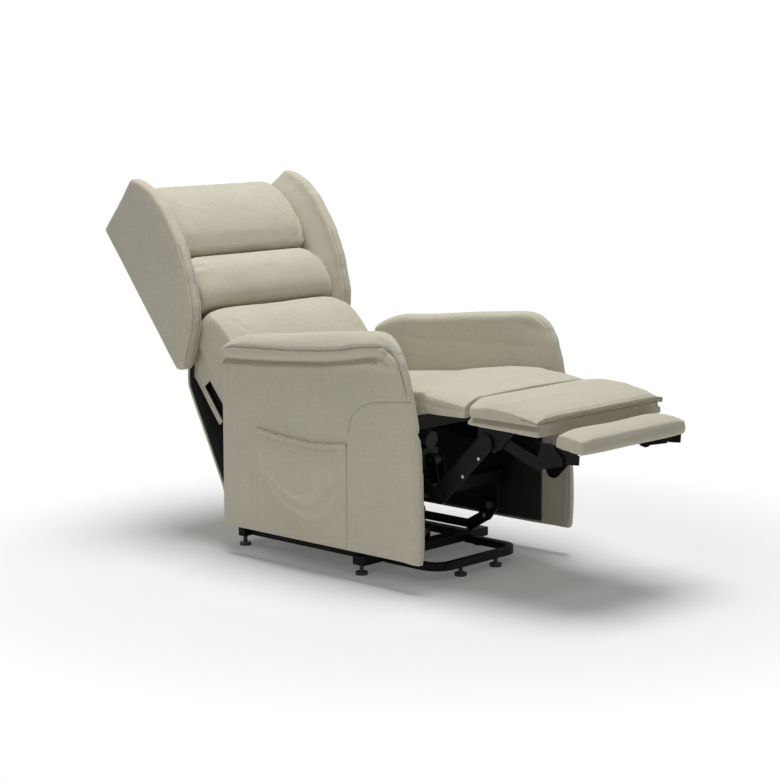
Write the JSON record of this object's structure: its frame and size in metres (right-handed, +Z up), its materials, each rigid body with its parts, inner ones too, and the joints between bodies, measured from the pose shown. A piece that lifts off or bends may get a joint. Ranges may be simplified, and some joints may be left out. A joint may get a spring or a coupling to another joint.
{
  "type": "lift recliner chair",
  "caption": "Wing-back lift recliner in a woven beige cover, reclined with its legrest out on a black steel lift base",
  "frame": {"origin": "middle of the footprint box on the floor", "axes": "+X to the sitter's feet, +Y to the sitter's left, +Z up"},
  "size_m": [1.6974, 0.6812, 1.0438],
  "materials": {
    "cover_fabric": "matte",
    "black_steel": "satin",
    "black_plastic": "matte",
    "timber": "matte",
    "elastic_webbing": "matte",
    "bolt_steel": "satin",
    "rod_steel": "satin"
  },
  "bodies": {
    "base": {"base_rear_tube": "black_steel", "base_middle_tube": "black_steel", "base_side_rails": "black_steel", "base_front_loop": "black_steel", "glide_feet": "black_plastic", "base_risers": "black_steel", "lift_motor_bracket": "black_steel", "base_pivot_pins": "bolt_steel"},
    "lift_arms": {"lift_arms": "black_steel", "lift_torque_tube": "black_steel", "lift_crank": "black_steel"},
    "lift_links": {"lift_links": "black_steel"},
    "lift_motor": {"lift_motor": "black_plastic"},
    "lift_rod": {"lift_rod": "rod_steel"},
    "chair_frame": {"side_plates": "black_steel", "front_cross_tube": "black_steel", "rear_cross_tube": "black_steel", "hanging_brackets": "black_steel", "back_motor_bracket": "black_steel", "frame_pivot_pins": "bolt_steel", "seat_side_rails": "timber", "seat_cross_rails": "timber", "seat_webbing": "elastic_webbing", "seat_cushion": "cover_fabric", "arm_brackets": "black_steel", "left_arm_frame": "timber", "right_arm_frame": "timber", "left_arm_upholstery": "cover_fabric", "right_arm_upholstery": "cover_fabric", "left_arm_roll": "cover_fabric", "right_arm_roll": "cover_fabric", "rear_rail": "timber", "control_box": "black_plastic", "side_pocket": "cover_fabric"},
    "backrest": {"back_pivot_tube": "black_steel", "back_brackets": "black_steel", "back_lever": "black_steel", "back_side_rails": "timber", "back_cross_rails": "timber", "back_webbing": "elastic_webbing", "lower_back_cushion": "cover_fabric", "lumbar_cushion": "cover_fabric", "head_cushion": "cover_fabric", "left_wing": "cover_fabric", "right_wing": "cover_fabric", "back_panel": "cover_fabric", "rear_flap": "cover_fabric"},
    "back_motor": {"back_motor": "black_plastic"},
    "back_rod": {"back_rod": "rod_steel"},
    "legrest_lower": {"legrest_lower_links": "black_steel"},
    "legrest_upper": {"legrest_upper_links": "black_steel"},
    "legrest": {"legrest_brackets": "black_steel", "legrest_cross_tube": "black_steel", "flap_struts": "black_steel", "legrest_board": "cover_fabric", "legrest_pad": "cover_fabric"},
    "foot_flap": {"foot_flap_pad": "cover_fabric", "foot_flap_brackets": "black_steel"},
    "bridge": {"bridge_pad": "cover_fabric"}
  },
  "joints": [
    {"name": "lift", "type": "hinge", "parent": "base", "child": "lift_arms", "pos_m": [-0.2645, 0, 0.069], "axis": [0, -1, 0], "range_deg": [0, 40]},
    {"name": "chair_tilt", "type": "hinge", "parent": "lift_arms", "child": "chair_frame", "pos_m": [0.1775, 0, 0.104], "axis": [0, 1, 0], "range_deg": [0, 60]},
    {"name": "lift_link_swing", "type": "hinge", "parent": "base", "child": "lift_links", "pos_m": [-0.187, 0, 0.1262], "axis": [0, -1, 0], "range_deg": [0, 43.06]},
    {"name": "lift_motor_swing", "type": "hinge", "parent": "base", "child": "lift_motor", "pos_m": [0.1125, 0, 0.078], "axis": [0, -1, 0], "range_deg": [0, 1.28]},
    {"name": "lift_rod_stroke", "type": "slide", "parent": "lift_motor", "child": "lift_rod", "axis": [-0.9823, 0, 0.1871], "range_m": [0, 0.05479]},
    {"name": "back_recline", "type": "hinge", "parent": "chair_frame", "child": "backrest", "pos_m": [-0.2845, 0, 0.44], "axis": [0, 1, 0], "range_deg": [-12, 26], "deforming": ["rear_flap"]},
    {"name": "back_motor_swing", "type": "hinge", "parent": "chair_frame", "child": "back_motor", "pos_m": [0.1605, 0, 0.29], "axis": [0, 1, 0], "range_deg": [-0.44, 0.94]},
    {"name": "back_rod_stroke", "type": "slide", "parent": "back_motor", "child": "back_rod", "axis": [-0.9912, 0, 0.1324], "range_m": [-0.01886, 0.04086]},
    {"name": "legrest_swing", "type": "hinge", "parent": "chair_frame", "child": "legrest_lower", "pos_m": [0.2155, 0, 0.33], "axis": [0, 1, 0], "range_deg": [0, 26.8]},
    {"name": "legrest_knee", "type": "hinge", "parent": "legrest_lower", "child": "legrest_upper", "pos_m": [0.3905, 0, 0.258], "axis": [0, -1, 0], "range_deg": [0, 76.8]},
    {"name": "legrest_tilt", "type": "hinge", "parent": "legrest_upper", "child": "legrest", "pos_m": [0.5455, 0, 0.415], "axis": [0, 1, 0], "range_deg": [0, 138]},
    {"name": "foot_flap_fold", "type": "hinge", "parent": "legrest", "child": "foot_flap", "pos_m": [0.7335, 0, 0.425], "axis": [0, 1, 0], "range_deg": [0, 165]},
    {"name": "bridge_fold", "type": "hinge", "parent": "chair_frame", "child": "bridge", "pos_m": [0.3558, 0, 0.484], "axis": [0, 1, 0], "range_deg": [0, 70], "deforming": ["bridge_pad"]}
  ],
  "couplings": [
    {"joint": "chair_tilt", "follows": "lift", "ratio": 1.5},
    {"joint": "lift_link_swing", "follows": "lift", "ratio": 1.0765},
    {"joint": "lift_motor_swing", "follows": "lift", "ratio": 0.03202},
    {"joint": "lift_rod_stroke", "follows": "lift", "m_per_rad": 0.078465},
    {"joint": "back_motor_swing", "follows": "back_recline", "ratio": 0.03628},
    {"joint": "back_rod_stroke", "follows": "back_recline", "m_per_rad": 0.090027},
    {"joint": "legrest_knee", "follows": "legrest_swing", "ratio": 2.8657},
    {"joint": "legrest_tilt", "follows": "legrest_swing", "ratio": 5.1493},
    {"joint": "foot_flap_fold", "follows": "legrest_swing", "ratio": 6.1567},
    {"joint": "bridge_fold", "follows": "legrest_swing", "ratio": 2.6119}
  ]
}
